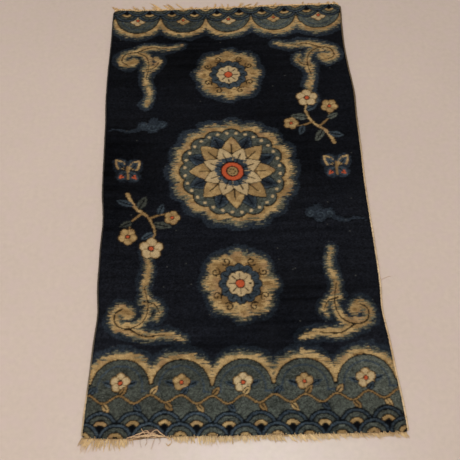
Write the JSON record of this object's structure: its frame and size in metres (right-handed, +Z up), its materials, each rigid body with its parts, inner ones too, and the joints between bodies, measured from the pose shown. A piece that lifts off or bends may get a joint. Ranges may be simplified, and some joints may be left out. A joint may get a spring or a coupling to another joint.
{
  "type": "chinese pile rug",
  "caption": "Small hand-knotted pile rug that lies flat, with overcast side cords, a narrow woven strip at each end and short uneven cotton fringes.",
  "frame": {"origin": "middle of the underside, on the floor", "axes": "+Y along the rug from its foot to its head, +Z up out of the pile, +X to the right seen from the foot"},
  "size_m": [0.6987, 1.3365, 0.0092],
  "materials": {
    "wool_pile": "matt wool pile, indigo with straw, slate blue and grey green",
    "side_overcasting": "matt straw wool wrapped over the edge warps",
    "cotton_warp": "matt undyed cotton, yellowed"
  },
  "bodies": {
    "root": {"pile_field": "wool_pile", "selvedge_left": "side_overcasting", "selvedge_right": "side_overcasting", "fringe_foot": "cotton_warp", "fringe_head": "cotton_warp"}
  },
  "joints": []
}
